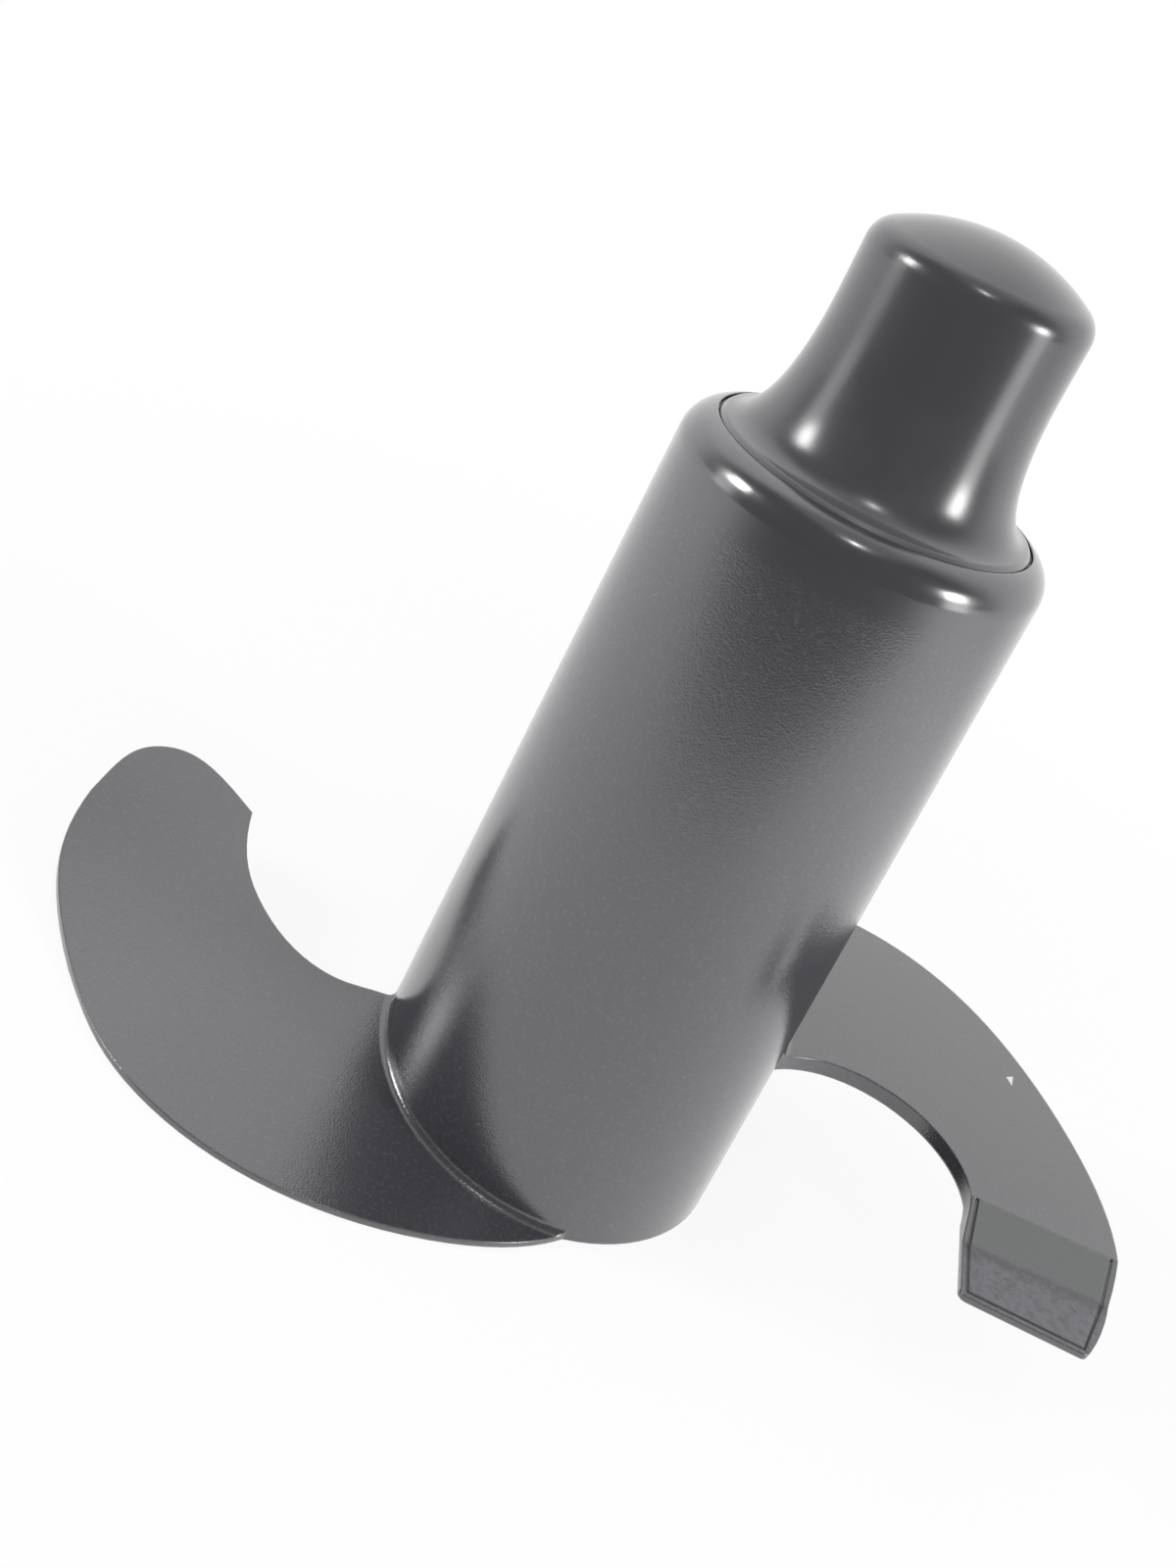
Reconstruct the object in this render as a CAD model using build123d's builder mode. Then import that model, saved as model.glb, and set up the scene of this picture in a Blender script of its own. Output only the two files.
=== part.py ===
import os
from math import cos, hypot, radians, sin, sqrt

from build123d import *

# Dough blade of a food processor: a tapered hub sleeve with a low scooped arm, a high flat arm
# and a push-in knob. The hub axis is +Z and the blade stands on its hub base at z = 0.
# Driving dimensions, in millimetres.

# hub sleeve
HUB_BASE_R = 27.1
HUB_TOP_R = 24.8
HUB_H = 107.3
SHOULDER_R = 4.5
WALL = 2.4

# drive socket under the hub's top, on webs that line up with its spline grooves
BORE_R = 7.5
SOCKET_WALL = 3.0
SOCKET_L = 40.0
SOCKET_CAP = 3.0
SOCKET_HEADROOM = 5.6
SPLINES = 4
SPLINE_W = 2.4
SPLINE_D = 1.3
WEB_T = 2.0
WEB_SETBACK = 5.0

# knob seat in the top of the hub
FLANGE_R = 21.3
FLANGE_EDGE = 0.35
SEAM_GAP = 0.25
SEAT_DEPTH = 0.7
DECK_T = 4.0
SPIGOT_R = 18.0
SPIGOT_GAP = 0.1
SPIGOT_L = 7.0

# knob
KNOB_H = 32.5
KNOB_WALL = 2.2
CROWN_R = 3.5
RIM_BEVEL = 0.6
NECK_R = 14.7
NECK_L = 3.6
DOME_R = 26.0
FOOT_DIR = (1, -0.12)

# arms
SWEEP_R = 82.0
LOW_ARM_T = 3.0
LOW_EDGE_T = 0.9
LOW_EDGE_SPARE = 0.3
LOW_RISE = 15.6
HIGH_ARM_Z = 25.8
HIGH_ARM_T = 2.4
ROOT_R = 1.2

# stepped tip of the high arm
TIP_STEP = 2.5
TIP_RAMP_L = 7.2
TIP_PAD_T = 0.95
TIP_RIM_W = 0.7
TIP_GROOVE_W = 0.5
TIP_GROOVE_D = 0.35
TIP_CORNER_R = 1.2

SEAT_Z = HUB_H - SEAT_DEPTH
DECK_Z = SEAT_Z - DECK_T
SOCKET_R = BORE_R + SOCKET_WALL
SOCKET_TOP_Z = SEAT_Z - SPIGOT_L - SOCKET_HEADROOM
SOCKET_END_Z = SOCKET_TOP_Z - SOCKET_CAP
SOCKET_MOUTH_Z = SOCKET_END_Z - SOCKET_L
HIGH_TOP_Z = HIGH_ARM_Z + HIGH_ARM_T
TIP_DROP = TIP_STEP + TIP_PAD_T - HIGH_ARM_T
KNOB_TOP_Z = SEAT_Z + KNOB_H
DOME_Z = KNOB_TOP_Z - DOME_R
CROWN_RISE = sqrt((DOME_R - CROWN_R) ** 2 - (NECK_R - CROWN_R) ** 2)
CROWN_Z = DOME_Z + CROWN_RISE
FLARE_H = CROWN_Z - NECK_L - SEAT_Z
BACK = 150
REACH = 4 * HUB_H
NEAR = 0.1


def in_hub(angle, share):
    # plan point inside the hub, where an arm takes root
    return (share * HUB_TOP_R * cos(radians(angle)), share * HUB_TOP_R * sin(radians(angle)))


def swept(x, y):
    # plan point on an arm, in shares of the sweep radius
    return (x * SWEEP_R, y * SWEEP_R)


def raised(plan, up):
    # point on the low arm's upper face, its height in shares of the arm's rise
    return (*plan, LOW_EDGE_T + up * LOW_RISE)


# Low arm: the leading edge lies on the bowl floor and climbs to the tip, the trailing edge rides higher.
LOW_LEAD = [
    raised(in_hub(-53, 0.95), 0),
    raised(swept(0.098, -0.349), 0),
    raised(swept(-0.048, -0.457), 0),
    raised(swept(-0.395, -0.537), 0),
    raised(swept(-0.674, -0.444), 0),
    raised(swept(-0.798, -0.330), 0.01),
    raised(swept(-0.909, -0.201), 0.105),
    raised(swept(-0.981, -0.083), 0.28),
    raised(swept(-1.006, 0.046), 0.55),
    raised(swept(-0.963, 0.293), 1),
]
LOW_TRAIL = [
    raised(in_hub(-59, 0.47), 0.071),
    raised(in_hub(-153, 0.54), 0.314),
    raised(swept(-0.334, -0.066), 0.455),
    raised(swept(-0.416, -0.094), 0.455),
    raised(swept(-0.506, -0.090), 0.481),
    raised(swept(-0.599, -0.045), 0.545),
    raised(swept(-0.671, 0.020), 0.628),
    raised(swept(-0.734, 0.138), 0.788),
    raised(swept(-0.756, 0.220), 0.917),
]
LOW_TIP = [
    swept(-1.014, -0.02),
    swept(-1.003, 0.085),
    swept(-0.983, 0.161),
    swept(-0.930, 0.197),
    swept(-0.830, 0.187),
    swept(-0.683, 0.122),
]

# High arm: the same crescent turned half a turn and lying flat.
HIGH_LEAD = [
    in_hub(121, 0.94),
    swept(0.024, 0.441),
    swept(0.317, 0.551),
    swept(0.463, 0.551),
    swept(0.628, 0.483),
    swept(0.744, 0.378),
    swept(0.860, 0.216),
    swept(0.968, -0.083),
    swept(0.968, -0.177),
    swept(0.936, -0.317),
]
HIGH_END = swept(0.714, -0.334)
HIGH_TRAIL = [swept(0.702, -0.154), swept(0.499, 0.055), in_hub(-18, 0.98)]
TIP_CREASE = [swept(0.709, -0.115), swept(0.967, -0.082)]


def hub_radius(z):
    return HUB_BASE_R + (HUB_TOP_R - HUB_BASE_R) * z / HUB_H


def root_edge(body, low, high):
    # longest edge of an arm on the hub's outer face between two heights
    def on_hub(edge):
        points = [edge @ t for t in (0.02, 0.5, 0.98)]
        return all(abs(hypot(p.X, p.Y) - hub_radius(p.Z)) < NEAR for p in points)

    edges = [e for e in body.edges() if on_hub(e) and low < (e @ 0.5).Z < high]
    return max(edges, key=lambda e: e.length)


def tip_plane():
    # x runs from the crease towards the end of the tip, y is up, z runs from the outer to the inner edge
    inner, outer = (Vector(x, y, HIGH_TOP_Z) for x, y in TIP_CREASE)
    along = (outer - inner).normalized()
    return Plane(origin=(inner + outer) / 2, x_dir=along.cross(Vector(0, 0, 1)), z_dir=-along)


def tip_underside():
    # plane under the ramp, parallel to it, facing the end of the tip
    frame = tip_plane()
    start = frame.from_local_coords((0, -HIGH_ARM_T, 0))
    slope = frame.from_local_coords((TIP_RAMP_L, -HIGH_ARM_T - TIP_STEP, 0)) - start
    return Plane(origin=start, x_dir=frame.z_dir, z_dir=frame.z_dir.cross(slope))


def scoop(lead, trail):
    # solid under the ruled face between two edges, thin along the leading one
    lead_under = lead.moved(Location((0, 0, -LOW_EDGE_T - LOW_EDGE_SPARE)))
    trail_under = trail.moved(Location((0, 0, -LOW_ARM_T)))
    rails = [lead, trail, trail_under, lead_under]
    sides = [Face.make_surface_from_curves(a, b) for a, b in zip(rails, rails[1:] + rails[:1])]
    ends = [Face(Wire.make_polygon([rail @ t for rail in rails], close=True)) for t in (0, 1)]
    return Solid(Shell(sides + ends))


def tip_panel(inner, outer, inset, part):
    # sunken panel of the tip, set in from its edges: the ramp or the pad past it
    frame = tip_plane()
    sunk = Vector(0, 0, -TIP_GROOVE_D)
    ends = [frame.to_local_coords(p).X - inset for p in (inner @ 0, outer @ 1)]
    near, far = {"ramp": ((0, 0), (TIP_RAMP_L, TIP_RAMP_L)), "pad": ((TIP_RAMP_L, TIP_RAMP_L), ends)}[part]

    def corner(edge, x, across):
        local = [frame.to_local_coords(edge @ (i / 400)) for i in range(401)]
        side = min(local, key=lambda p: abs(p.X - x)).Z
        return frame.from_local_coords((x, -TIP_STEP * min(x / TIP_RAMP_L, 1.0), side + across)) + sunk

    corners = [
        corner(inner, near[0], -inset),
        corner(outer, near[1], inset),
        corner(outer, far[1], inset),
        corner(inner, far[0], -inset),
    ]
    return Face(Wire.make_polygon(corners, close=True))


with BuildPart() as blade_body:
    # hub, solid at first, its seam line turned to the back
    with BuildSketch(Plane.XZ.rotated((0, 0, BACK))):
        Polygon((0, 0), (HUB_BASE_R, 0), (HUB_TOP_R, HUB_H), (0, HUB_H), align=None)
    revolve(axis=Axis.Z)
    fillet(blade_body.edges().filter_by(GeomType.CIRCLE).sort_by(Axis.Z)[-1], SHOULDER_R)

    # high arm, a flat crescent
    with BuildSketch(Plane.XY.offset(HIGH_ARM_Z)) as high_plan:
        with BuildLine():
            high_lead = Spline(*HIGH_LEAD)
            Line(high_lead @ 1, HIGH_END)
            high_side = Line(HIGH_END, HIGH_TRAIL[0])
            high_trail = ThreePointArc(*HIGH_TRAIL)
            Line(high_trail @ 1, high_lead @ 0)
        make_face()
        fillet(high_plan.vertices().sort_by(Axis.Y)[:2], TIP_CORNER_R)
    extrude(amount=HIGH_ARM_T)

    # under its tip the plate steps down with the ramp
    tip_under = split(
        extrude(high_plan.sketch, amount=-TIP_DROP, mode=Mode.PRIVATE),
        bisect_by=tip_underside(),
        keep=Keep.TOP,
        mode=Mode.PRIVATE,
    )
    add(tip_under)

    # low arm, a ruled scoop with a thin leading edge, cut round at the tip and flat on the floor
    add(scoop(Spline(*LOW_LEAD), Spline(*LOW_TRAIL)))
    with BuildSketch(Plane.XY):
        with BuildLine():
            low_tip = Spline(*LOW_TIP)
            far_corner = low_tip @ 0 + Vector(-HUB_H, HUB_H, 0)
            Polyline(
                low_tip @ 1,
                ((low_tip @ 1).X, far_corner.Y),
                far_corner,
                (far_corner.X, (low_tip @ 0).Y),
                low_tip @ 0,
            )
        make_face()
    extrude(amount=HIGH_ARM_Z, both=True, mode=Mode.SUBTRACT)
    Box(REACH, REACH, HUB_H, align=(Align.CENTER, Align.CENTER, Align.MAX), mode=Mode.SUBTRACT)

    # concave fillets where the arms' upper faces meet the hub
    fillet(root_edge(blade_body, HIGH_TOP_Z - NEAR, HIGH_TOP_Z + NEAR), ROOT_R)
    fillet(root_edge(blade_body, NEAR, HIGH_ARM_Z / 2), ROOT_R)

    # high arm's tip: a ramp down to a pad, with a fine groove round them inside the edges
    with BuildSketch(tip_plane()):
        Polygon((0, 0), (TIP_RAMP_L, -TIP_STEP), (REACH, -TIP_STEP), (REACH, REACH), (0, REACH), align=None)
    extrude(amount=HUB_BASE_R, both=True, mode=Mode.SUBTRACT)
    inner = high_side.moved(Location((0, 0, HIGH_TOP_Z)))
    outer = high_lead.moved(Location((0, 0, HIGH_TOP_Z)))
    for inset, mode in ((TIP_RIM_W, Mode.SUBTRACT), (TIP_RIM_W + TIP_GROOVE_W, Mode.ADD)):
        for part in ("ramp", "pad"):
            extrude(tip_panel(inner, outer, inset, part), amount=TIP_GROOVE_D, dir=(0, 0, 1), mode=mode)

    # hollow sleeve, deck hole and knob seat
    with BuildSketch(Plane.XZ.rotated((0, 0, BACK))):
        Polygon(
            (0, 0),
            (HUB_BASE_R - WALL, 0),
            (hub_radius(DECK_Z) - WALL, DECK_Z),
            (SPIGOT_R + SPIGOT_GAP, DECK_Z),
            (SPIGOT_R + SPIGOT_GAP, SEAT_Z),
            (FLANGE_R + SEAM_GAP, SEAT_Z),
            (FLANGE_R + SEAM_GAP, HUB_H),
            (0, HUB_H),
            align=None,
        )
    revolve(axis=Axis.Z, mode=Mode.SUBTRACT)

    # drive socket hung on its webs, with a blind splined bore
    with Locations((0, 0, SOCKET_MOUTH_Z)):
        Cylinder(SOCKET_R, SOCKET_TOP_Z - SOCKET_MOUTH_Z, align=(Align.CENTER, Align.CENTER, Align.MIN))
    web_z = SOCKET_MOUTH_Z + WEB_SETBACK
    for k in range(SPLINES):
        with BuildSketch(Plane.XZ.rotated((0, 0, 45 + 360 * k / SPLINES))):
            Polygon(
                (SOCKET_R - SOCKET_WALL / 2, web_z),
                (hub_radius(web_z) - WALL / 2, web_z),
                (hub_radius(SOCKET_TOP_Z) - WALL / 2, SOCKET_TOP_Z),
                (SOCKET_R - SOCKET_WALL / 2, SOCKET_TOP_Z),
                align=None,
            )
        extrude(amount=WEB_T / 2, both=True)
    with BuildSketch(Plane.XY):
        Circle(BORE_R)
        with PolarLocations((BORE_R + SPLINE_D) / 2, SPLINES, start_angle=45):
            Rectangle(BORE_R + SPLINE_D, SPLINE_W)
    extrude(amount=SOCKET_END_Z, mode=Mode.SUBTRACT)

with BuildPart() as top_knob:
    # flange, flared foot, neck, rounded crown and dome, with the spigot below
    def flare_point(out, up):
        return (NECK_R + (FLANGE_R - NECK_R) * out, SEAT_Z + FLARE_H * up)

    with BuildSketch(Plane.XZ.rotated((0, 0, BACK))):
        with BuildLine():
            dome_share = DOME_R / (DOME_R - CROWN_R)
            crown_top = (dome_share * (NECK_R - CROWN_R), DOME_Z + dome_share * CROWN_RISE)
            dome = RadiusArc((0, KNOB_TOP_Z), crown_top, DOME_R)
            crown = TangentArc(dome @ 1, (NECK_R, CROWN_Z), tangent=dome % 1)
            neck = Line(crown @ 1, flare_point(0, 1))
            rim_top = (FLANGE_R - RIM_BEVEL, SEAT_Z + FLANGE_EDGE + RIM_BEVEL)
            flare = Spline(
                neck @ 1,
                flare_point(0.12, 0.43),
                flare_point(0.55, 0.10),
                rim_top,
                tangents=(neck % 1, FOOT_DIR),
            )
            Polyline(
                flare @ 1,
                (FLANGE_R, SEAT_Z + FLANGE_EDGE),
                (FLANGE_R, SEAT_Z),
                (SPIGOT_R, SEAT_Z),
                (SPIGOT_R, SEAT_Z - SPIGOT_L),
                (0, SEAT_Z - SPIGOT_L),
                dome @ 0,
            )
        make_face()
    revolve(axis=Axis.Z)

    # hollow underside
    with BuildSketch(Plane.XZ.rotated((0, 0, BACK))):
        Polygon(
            (0, SEAT_Z - SPIGOT_L),
            (SPIGOT_R - KNOB_WALL, SEAT_Z - SPIGOT_L),
            (SPIGOT_R - KNOB_WALL, SEAT_Z),
            (NECK_R - KNOB_WALL, SEAT_Z + FLARE_H / 3),
            (NECK_R - KNOB_WALL, CROWN_Z - KNOB_WALL),
            (0, KNOB_TOP_Z - KNOB_WALL),
            align=None,
        )
    revolve(axis=Axis.Z, mode=Mode.SUBTRACT)

blade_body.part.label = "blade_body"
top_knob.part.label = "top_knob"

os.makedirs("parts", exist_ok=True)
export_step(blade_body.part, "parts/blade_body.step")
export_step(top_knob.part, "parts/top_knob.step")
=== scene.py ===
import math

import bpy
from mathutils import Matrix, Vector

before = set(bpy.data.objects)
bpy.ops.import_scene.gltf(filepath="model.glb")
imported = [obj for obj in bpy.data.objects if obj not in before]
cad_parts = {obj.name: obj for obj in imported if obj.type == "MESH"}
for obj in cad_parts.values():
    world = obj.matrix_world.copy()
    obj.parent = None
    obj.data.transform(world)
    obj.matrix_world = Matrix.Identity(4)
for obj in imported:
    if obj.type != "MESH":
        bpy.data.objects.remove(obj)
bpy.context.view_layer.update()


# Blade body
# One moulding in charcoal plastic: the tapered hub sleeve with its low scooped arm and its high flat arm.
# Its tool leaves a satin skin with a fine spark grain, a polished shoulder at the hub's top
# and a rougher pad at the high arm's tip.
MM = 0.001
RIGHT = (1.0, 0.0, 0.0)
BACK = (0.0, 1.0, 0.0)
UP = (0.0, 0.0, 1.0)

BODY_COLOUR = (0.041, 0.0415, 0.048, 1.0)
BODY_PALE_DRIFT_AND_HIGHLIGHT = (0.140, 0.144, 0.156, 1.0)
RAMP_PAINTED_LIGHT = (0.068, 0.071, 0.073, 1.0)
PAD_COLOUR = (0.026, 0.026, 0.034, 1.0)
PAD_PALE = (0.072, 0.073, 0.086, 1.0)
CHIP_COLOUR = (0.85, 0.85, 0.83, 1.0)
BODY_IOR = 1.55
BODY_SHEEN = 0.90
BODY_ROUGHNESS = 0.19
PAD_ROUGHNESS = 0.54
ROUGHNESS_DRIFT = 0.04

EDGE_ROUND = 0.45 * MM
EDGE_SAMPLES = 8
EDGE_FROM, EDGE_FULL = 0.02, 0.16
SHOULDER_LOW, SHOULDER_HIGH = 98.0 * MM, 101.5 * MM
GRAIN_SCALE = 3400.0
GRAIN_DEPTH = 0.072 * MM
GRAIN_STRENGTH = 0.38
SPARK_SCALE = 1700.0
GLINT_FROM, GLINT_FULL = 0.50, 0.74
DRIFT_SCALE = 34.0
NOISE_MIDDLE = 0.5
EDGE_HIGHLIGHT_SHARE = 0.75
DRIFT_SHARE = 0.08
GLINT_SHARE = 0.18

HIGH_ARM_FROM, HIGH_ARM_FULL = 50.0 * MM, 52.0 * MM
RAISED_FROM, RAISED_FULL = 24.0 * MM, 24.6 * MM
UPWARD_FROM, UPWARD_FULL = 0.6, 0.8
TIP_CREASE = Vector((68.7, -8.05, 28.2)) * MM
TIP_RUN = Vector((0.1263, -0.9920, 0.0))
CREASE_WIDTH = 0.1 * MM
PAD_START = 7.2 * MM
PAD_FROM, PAD_FULL = PAD_START - 0.5 * MM, PAD_START + 0.3 * MM
PATCH_SCALE = 620.0
PATCH_FULL = PAD_START + 3.5 * MM
PATCH_RISE = 0.30
PATCH_DROP = 0.20
PALE_FROM, PALE_FULL = 0.38, 0.62

CHIP_PLACE = Vector((60.9, 23.9, 28.2)) * MM
CHIP_ACROSS = (0.896, 0.222, 0.0)
CHIP_AWAY = (-0.444, 0.448, 0.0)
CHIP_HALF = 0.6 * MM
CHIP_POINT = 0.1 * MM
CHIP_SLOPE = 0.5
CHIP_SOFT = 0.12 * MM
CHIP_END = CHIP_HALF * 0.8


class Wire:
    """A socket's value in a material, so that shader maths reads as plain arithmetic."""

    def __init__(self, tree, socket):
        self.tree = tree
        self.socket = socket

    def node(self, kind, settings=None, sockets=None, out=0):
        made = self.tree.nodes.new(kind)
        for name, value in (settings or {}).items():
            setattr(made, name, value)
        for name, value in (sockets or {}).items():
            if isinstance(value, Wire):
                self.tree.links.new(value.socket, made.inputs[name])
            else:
                made.inputs[name].default_value = value
        return Wire(self.tree, made.outputs[out])

    def maths(self, operation, first, second=0.0):
        return self.node("ShaderNodeMath", {"operation": operation}, {0: first, 1: second})

    def vectors(self, operation, other, out):
        return self.node("ShaderNodeVectorMath", {"operation": operation}, {0: self, 1: other}, out)

    def __add__(self, other):
        return self.maths("ADD", self, other)

    __radd__ = __add__

    def __mul__(self, other):
        return self.maths("MULTIPLY", self, other)

    __rmul__ = __mul__

    def __sub__(self, other):
        return self.maths("SUBTRACT", self, other)

    def __rsub__(self, other):
        return self.maths("SUBTRACT", other, self)

    def __gt__(self, other):
        return self.maths("GREATER_THAN", self, other)

    def step(self, low, high):
        settings = {"interpolation_type": "SMOOTHSTEP"}
        sockets = {"Value": self, "From Min": low, "From Max": high, "To Min": 0.0, "To Max": 1.0}
        return self.node("ShaderNodeMapRange", settings, sockets)

    def dot(self, other):
        return self.vectors("DOT_PRODUCT", other, "Value")

    def away(self, place):
        return self.vectors("DISTANCE", place, "Value")

    def less(self, place):
        return self.vectors("SUBTRACT", place, "Vector")

    def noise(self, scale, detail):
        return self.node("ShaderNodeTexNoise", None, {"Vector": self, "Scale": scale, "Detail": detail})

    def blend(self, low, high):
        return self.node("ShaderNodeMix", {"data_type": "RGBA"}, {0: self, 6: low, 7: high}, out=2)

    def cover(self, under, over):
        return self.node("ShaderNodeMixShader", None, {0: self, 1: under, 2: over})

    def bump(self, strength, distance, under):
        sockets = {"Height": self, "Strength": strength, "Distance": distance, "Normal": under}
        return self.node("ShaderNodeBump", None, sockets)


def plastic(name, ior, sheen):
    """A new material, its shader and a wire that carries its object coordinates."""
    material = bpy.data.materials.new(name)
    material.use_nodes = True
    tree = material.node_tree
    shader = tree.nodes["Principled BSDF"]
    shader.inputs["IOR"].default_value = ior
    shader.inputs["Specular IOR Level"].default_value = sheen
    place = Wire(tree, None).node("ShaderNodeTexCoord", out="Object")
    return material, shader, place


def edges(place):
    """Wires for the flat normal, the normal rounded at edges and the mask of the edges, whose paler tone is
    a painted highlight.
    """
    facing = place.node("ShaderNodeNewGeometry", out="True Normal")
    rounded = place.node("ShaderNodeBevel", {"samples": EDGE_SAMPLES}, {"Radius": EDGE_ROUND})
    painted_edge_highlight = (1.0 - rounded.dot(facing)).step(EDGE_FROM, EDGE_FULL)
    return facing, rounded, painted_edge_highlight


def feed(shader, name, value):
    """Links a wire to one of the shader's sockets."""
    value.tree.links.new(value.socket, shader.inputs[name])


def dress(node, material):
    """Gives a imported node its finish."""
    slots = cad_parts[node].data.materials
    slots.clear()
    slots.append(material)


body_finish, body_shader, place = plastic("satin_charcoal_plastic", BODY_IOR, BODY_SHEEN)
facing, rounded, painted_edge_highlight = edges(place)
height = place.dot(UP)

# the grain and its pale sparks, painted paler as glints and ending at the shoulder, and a slow drift of tone
polished = height.step(SHOULDER_LOW, SHOULDER_HIGH)
grain = place.noise(GRAIN_SCALE, detail=2.0)
spark = place.noise(SPARK_SCALE, detail=3.0)
painted_glint = spark.step(GLINT_FROM, GLINT_FULL) * (1.0 - polished)
drift = place.noise(DRIFT_SCALE, detail=3.0)

# the ramp on the high arm's tip, painted lighter as painted light against the shade its slope gets, and the
# patchy pad past it
run = place.less(TIP_CREASE).dot(TIP_RUN)
on_arm = place.dot(RIGHT).step(HIGH_ARM_FROM, HIGH_ARM_FULL)
raised = height.step(RAISED_FROM, RAISED_FULL)
upward = facing.dot(UP).step(UPWARD_FROM, UPWARD_FULL)
tip = run.step(0.0, CREASE_WIDTH) * on_arm * raised * upward
pad = run.step(PAD_FROM, PAD_FULL) * tip
patch = place.noise(PATCH_SCALE, detail=2.0) + run.step(PAD_START, PATCH_FULL) * PATCH_RISE - PATCH_DROP
pale = ((spark + patch) * 0.5).step(PALE_FROM, PALE_FULL)

# a small pale chip in the high arm's top, wide behind and pointed in front
from_chip = place.less(CHIP_PLACE)
chip_side = from_chip.dot(CHIP_ACROSS)
chip_side = chip_side.maths("ABSOLUTE", chip_side)
chip_back = from_chip.dot(CHIP_AWAY)
taper = (chip_back + CHIP_HALF) * CHIP_SLOPE + CHIP_POINT - chip_side
chip = taper.step(0.0, CHIP_SOFT) * (1.0 - chip_back.step(CHIP_END, CHIP_HALF)) * upward

# painted highlights: the edges and the glints are painted paler in the base colour; the drift is a random
# tone, and the ramp is painted lighter as painted light
tone = painted_edge_highlight * EDGE_HIGHLIGHT_SHARE + drift * DRIFT_SHARE + painted_glint * GLINT_SHARE
tone = tone.blend(BODY_COLOUR, BODY_PALE_DRIFT_AND_HIGHLIGHT)
tone = tip.blend(tone, RAMP_PAINTED_LIGHT)
tone = pad.blend(tone, pale.blend(PAD_COLOUR, PAD_PALE))
tone = chip.blend(tone, CHIP_COLOUR)
dullness = BODY_ROUGHNESS + (drift - NOISE_MIDDLE) * ROUGHNESS_DRIFT + pad * (PAD_ROUGHNESS - BODY_ROUGHNESS)
relief = (grain * (1.0 - pad) + spark * pad) * (1.0 - painted_edge_highlight) * (1.0 - polished)
feed(body_shader, "Base Color", tone)
feed(body_shader, "Roughness", dullness)
feed(body_shader, "Normal", relief.bump(GRAIN_STRENGTH, GRAIN_DEPTH, rounded))
dress("blade_body", body_finish)


# Top knob
# A hollow grip knob in the same charcoal, moulded on its own and pressed into the top of the hub.
# Its tool was polished, so it shows the lamps as streaks; its foot and edges are painted paler as a painted
# highlight.
KNOB_COLOUR = (0.050, 0.050, 0.056, 1.0)
KNOB_RUBBED = (0.062, 0.062, 0.070, 1.0)
KNOB_PAINTED_HIGHLIGHT = (0.130, 0.130, 0.142, 1.0)
KNOB_IOR = 1.52
KNOB_SHEEN = 0.62
KNOB_ROUGHNESS = 0.23
SMEAR_SCALE = 60.0
SMEAR_FROM, SMEAR_FULL = 0.45, 0.75
SMEAR_ROUGHNESS = 0.06
FOOT_LOW, FOOT_HIGH = 107.4 * MM, 109.6 * MM
FOOT_HIGHLIGHT_SHARE = 0.45
KNOB_GRAIN_SCALE = 3600.0
KNOB_GRAIN_DEPTH = 0.03 * MM
KNOB_GRAIN_STRENGTH = 0.10

knob_finish, knob_shader, place = plastic("gloss_charcoal_plastic", KNOB_IOR, KNOB_SHEEN)
facing, rounded, painted_edge_highlight = edges(place)
smear = place.noise(SMEAR_SCALE, detail=4.0)
grain = place.noise(KNOB_GRAIN_SCALE, detail=1.0)
foot = 1.0 - place.dot(UP).step(FOOT_LOW, FOOT_HIGH)
tone = smear.step(SMEAR_FROM, SMEAR_FULL).blend(KNOB_COLOUR, KNOB_RUBBED)
# the foot and the edges are painted paler: painted highlight
tone = painted_edge_highlight.maths("MAXIMUM", painted_edge_highlight, foot * FOOT_HIGHLIGHT_SHARE).blend(tone, KNOB_PAINTED_HIGHLIGHT)
feed(knob_shader, "Base Color", tone)
feed(knob_shader, "Roughness", KNOB_ROUGHNESS + (smear - NOISE_MIDDLE) * SMEAR_ROUGHNESS)
feed(knob_shader, "Normal", grain.bump(KNOB_GRAIN_STRENGTH, KNOB_GRAIN_DEPTH, rounded))
dress("top_knob", knob_finish)


# Table
# A white sheet under the part that keeps a faint shadow; it ends just before the lens, out of the picture.
# In mirrors it is brighter than white, most of all at its flanks, and light mirrored twice is dimmed.
FLOOR_SIZE = 6.0
FLOOR_DROP = 0.2 * MM
FLOOR_FRONT = -0.32
FLOOR_DARK = -0.14
FLOOR_COLOUR = (0.86, 0.86, 0.86, 1.0)
FLOOR_ROUGHNESS = 0.9
FLOOR_GLOW = 0.90
FLOOR_NEAR, FLOOR_FAR = 0.10, 0.30
FLOOR_SHINE = 0.36
LEFT_SHINE, RIGHT_SHINE = 0.10, 0.42
FLANK_FROM, FLANK_FULL = 0.02, 0.24
FLANK_DEPTH = 0.15
FIRST_MIRROR = 1.5
TWICE_LOSS = 0.75


def rays(tree):
    """Wires for rays from the lens, a mirror or glass, and the share that a second mirror takes."""
    seen = Wire(tree, None).node("ShaderNodeLightPath", out="Is Camera Ray")
    mirrored = seen.node("ShaderNodeLightPath", out="Is Glossy Ray")
    through = seen.node("ShaderNodeLightPath", out="Is Transmission Ray")
    twice = (seen.node("ShaderNodeLightPath", out="Glossy Depth") > FIRST_MIRROR) * TWICE_LOSS
    return seen, mirrored, through, twice


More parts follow.
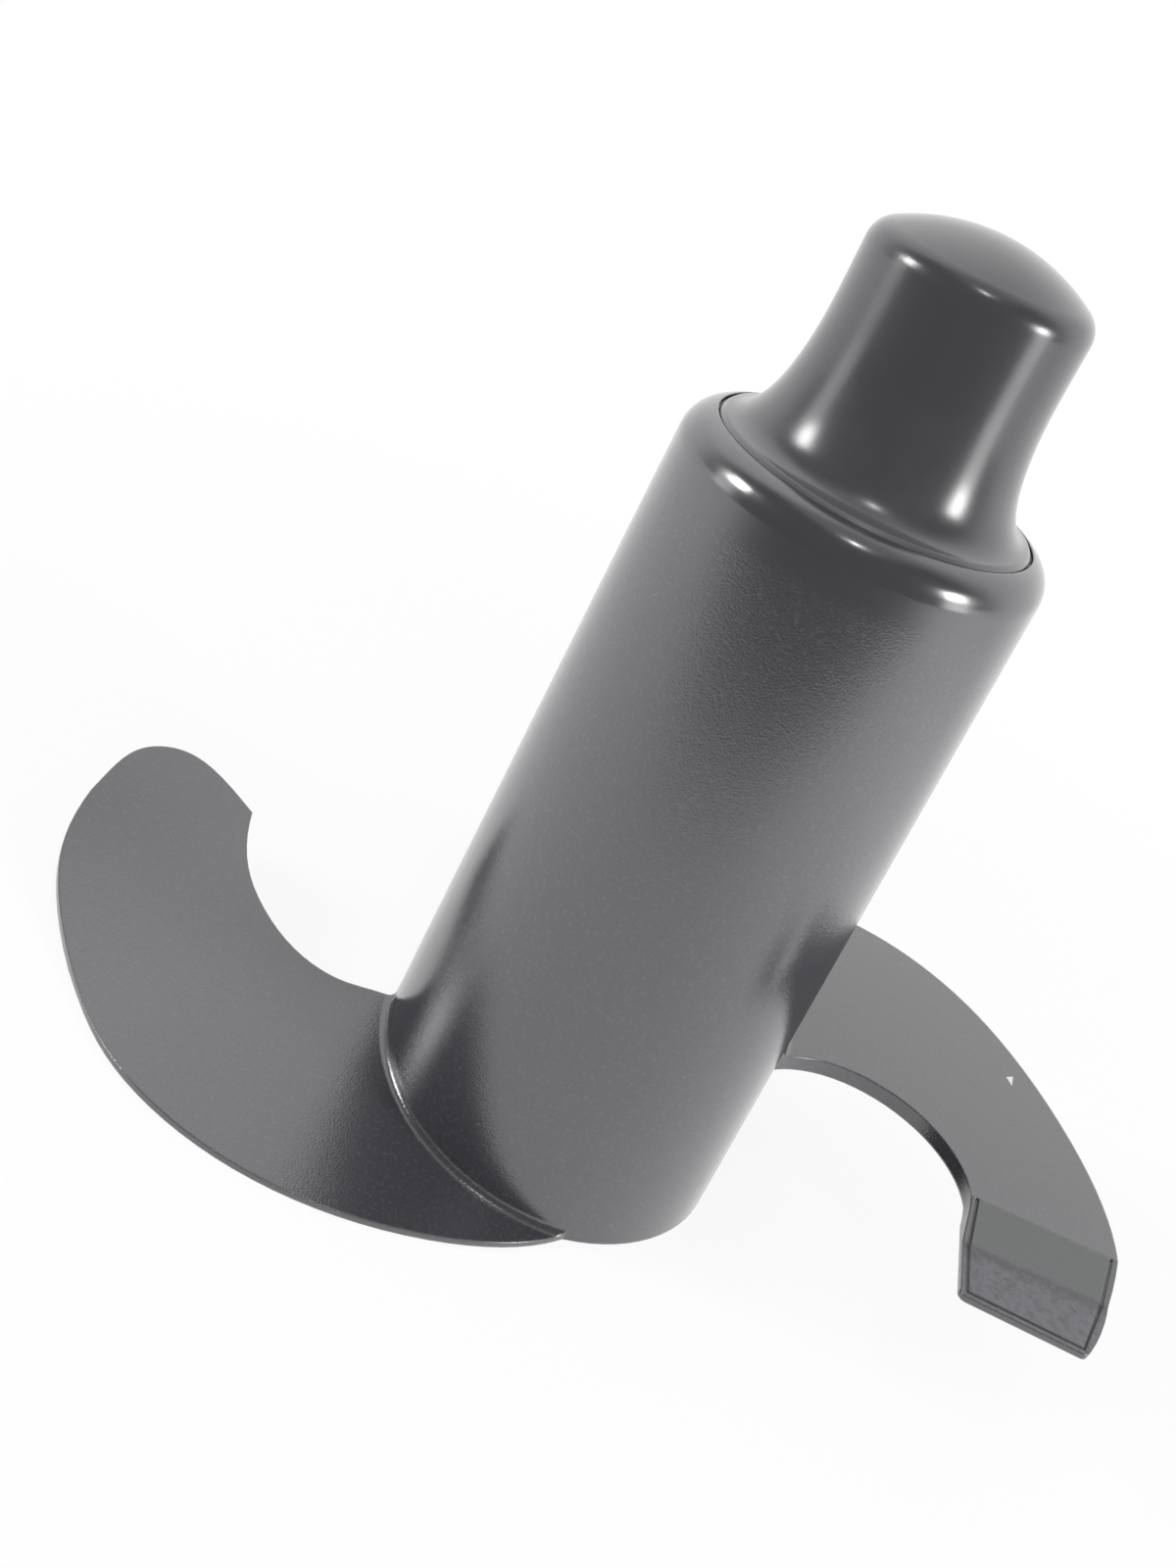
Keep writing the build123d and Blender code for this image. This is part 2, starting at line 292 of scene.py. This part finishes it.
bpy.ops.object.select_all(action="DESELECT")
bpy.ops.mesh.primitive_plane_add(size=FLOOR_SIZE, location=(0.0, 0.0, -FLOOR_DROP))
floor = bpy.context.active_object
floor.name = "floor"
for vertex in floor.data.vertices:
    vertex.co.y = max(vertex.co.y, FLOOR_FRONT)
floor_finish = bpy.data.materials.new("white_sheet")
floor_finish.use_nodes = True
floor_tree = floor_finish.node_tree
floor_shader = floor_tree.nodes["Principled BSDF"]
floor_shader.inputs["Base Color"].default_value = FLOOR_COLOUR
floor_shader.inputs["Roughness"].default_value = FLOOR_ROUGHNESS
floor_shader.inputs["Specular IOR Level"].default_value = 0.0
seen, mirrored, through, twice = rays(floor_tree)
spot = seen.node("ShaderNodeTexCoord", out="Object")
beside = spot.dot(RIGHT)
depth = spot.dot(BACK)
on_right = beside.step(FLANK_FROM, FLANK_FULL) * RIGHT_SHINE
on_left = (0.0 - beside).step(FLANK_FROM, FLANK_FULL) * LEFT_SHINE
flanks = (on_right + on_left) * (1.0 - depth.step(0.0, FLANK_DEPTH))
lit = (1.0 + FLOOR_SHINE + flanks) * depth.step(FLOOR_FRONT, FLOOR_DARK) * (1.0 - twice)
glow = seen.node("ShaderNodeEmission", None, {"Color": 1.0 + mirrored * (lit - 1.0), "Strength": 1.0})
share = FLOOR_GLOW + spot.away((0.0, 0.0, 0.0)).step(FLOOR_NEAR, FLOOR_FAR) * (1.0 - FLOOR_GLOW)
sheet = ((seen + mirrored + through) * share).cover(Wire(floor_tree, floor_shader.outputs[0]), glow)
floor_tree.links.new(sheet.socket, floor_tree.nodes["Material Output"].inputs["Surface"])
floor.data.materials.append(floor_finish)


# Room
# Behind the part it is as white as the sheet, and in mirrors brighter still, most of all up on the left.
# In front, where the lens stands, mirrors show it dark.
WHITE = (1.0, 1.0, 1.0, 1.0)
ROOM_LEVEL = 0.54
BACK_LEVEL = 1.45
BACK_FROM, BACK_FULL = -0.10, 0.45
FRONT_COLOUR = (0.11, 0.095, 0.08, 1.0)
OVERHEAD_FROM, OVERHEAD_FULL = 0.85, 0.97
OVERHEAD_SHARE = 0.40
LEFT_LEVEL = 1.75
LEFT_WAY = (-0.396, 0.472, 0.788)
LEFT_FROM, LEFT_FULL = 0.82, 0.98

world = bpy.data.worlds.new("white_room")
bpy.context.scene.world = world
world.use_nodes = True
room_tree = world.node_tree
seen, mirrored, through, twice = rays(room_tree)
way = seen.node("ShaderNodeTexCoord", out="Generated")
behind = way.dot(BACK).step(BACK_FROM, BACK_FULL)
overhead = way.dot(UP).step(OVERHEAD_FROM, OVERHEAD_FULL) * OVERHEAD_SHARE
above_left = way.dot(LEFT_WAY).step(LEFT_FROM, LEFT_FULL)
bright = 1.0 - (1.0 - behind) * (1.0 - overhead)
level = ROOM_LEVEL + (1.0 - ROOM_LEVEL) * (seen + through) + (BACK_LEVEL - ROOM_LEVEL) * mirrored
room = room_tree.nodes["Background"]
room.inputs["Color"].default_value = WHITE
feed(room, "Strength", level)
front = seen.node("ShaderNodeBackground", None, {"Color": FRONT_COLOUR, "Strength": 1.0})
left = seen.node("ShaderNodeBackground", None, {"Color": WHITE, "Strength": LEFT_LEVEL})
around = (mirrored * (1.0 - bright * (1.0 - twice))).cover(Wire(room_tree, room.outputs[0]), front)
around = (mirrored * above_left * (1.0 - twice)).cover(around, left)
room_tree.links.new(around.socket, room_tree.nodes["World Output"].inputs["Surface"])


# Lamps
# A bright box and a dim strip down to the sheet stand on the left and on the right of the part.
# A small lamp hangs overhead in front.
LAMP_AIM = Vector((0.0, 0.0, 0.075))


def soft_box(name, turn, lift, distance, width, tall, power):
    """A rectangular lamp that faces the hub from a compass turn and a lift in degrees."""
    turn, lift = math.radians(turn), math.radians(lift)
    way = Vector((math.sin(turn) * math.cos(lift), -math.cos(turn) * math.cos(lift), math.sin(lift)))
    data = bpy.data.lights.new(name, "AREA")
    data.shape = "RECTANGLE"
    data.size = width
    data.size_y = tall
    data.energy = power
    lamp = bpy.data.objects.new(name, data)
    bpy.context.scene.collection.objects.link(lamp)
    lamp.location = LAMP_AIM + way * distance
    lamp.rotation_euler = way.to_track_quat("Z", "Y").to_euler()


soft_box("left_box", turn=-73.0, lift=25.0, distance=0.70, width=0.13, tall=0.20, power=2.10)
soft_box("left_strip", turn=-77.0, lift=12.0, distance=0.64, width=0.18, tall=0.38, power=0.66)
soft_box("right_box", turn=73.0, lift=19.0, distance=0.70, width=0.13, tall=0.19, power=1.90)
soft_box("right_strip", turn=74.0, lift=10.0, distance=0.64, width=0.18, tall=0.38, power=1.10)
soft_box("top_lamp", turn=11.0, lift=64.0, distance=0.80, width=0.03, tall=0.03, power=0.50)


# Camera
# It stands in front of the part, looks down at it and is rolled, so the upright part leans in the picture.
# Its lens, place and turn were fitted to the hub's outline and base.
LENS_PX = 1900.22
FRAME_PX = 1600.0
SENSOR = 36.0
NEAR_CLIP = 0.01
EYE = Vector((0.0, -227.35, 167.28)) * MM
YAW, PITCH, ROLL = -0.0669, -0.4716, 0.4606

ahead = Vector((math.sin(YAW) * math.cos(PITCH), math.cos(YAW) * math.cos(PITCH), math.sin(PITCH)))
level = Vector((math.cos(YAW), -math.sin(YAW), 0.0))
upright = level.cross(ahead)
across = math.cos(ROLL) * level + math.sin(ROLL) * upright
above = math.cos(ROLL) * upright - math.sin(ROLL) * level
lens = bpy.data.cameras.new("camera")
lens.sensor_fit = "VERTICAL"
lens.sensor_height = SENSOR
lens.lens = LENS_PX / FRAME_PX * SENSOR
lens.clip_start = NEAR_CLIP
camera = bpy.data.objects.new("camera", lens)
bpy.context.scene.collection.objects.link(camera)
turned = Matrix((across, above, -ahead)).transposed().to_4x4()
camera.matrix_world = Matrix.Translation(EYE) @ turned
bpy.context.scene.camera = camera
bpy.context.scene.view_settings.view_transform = "Standard"
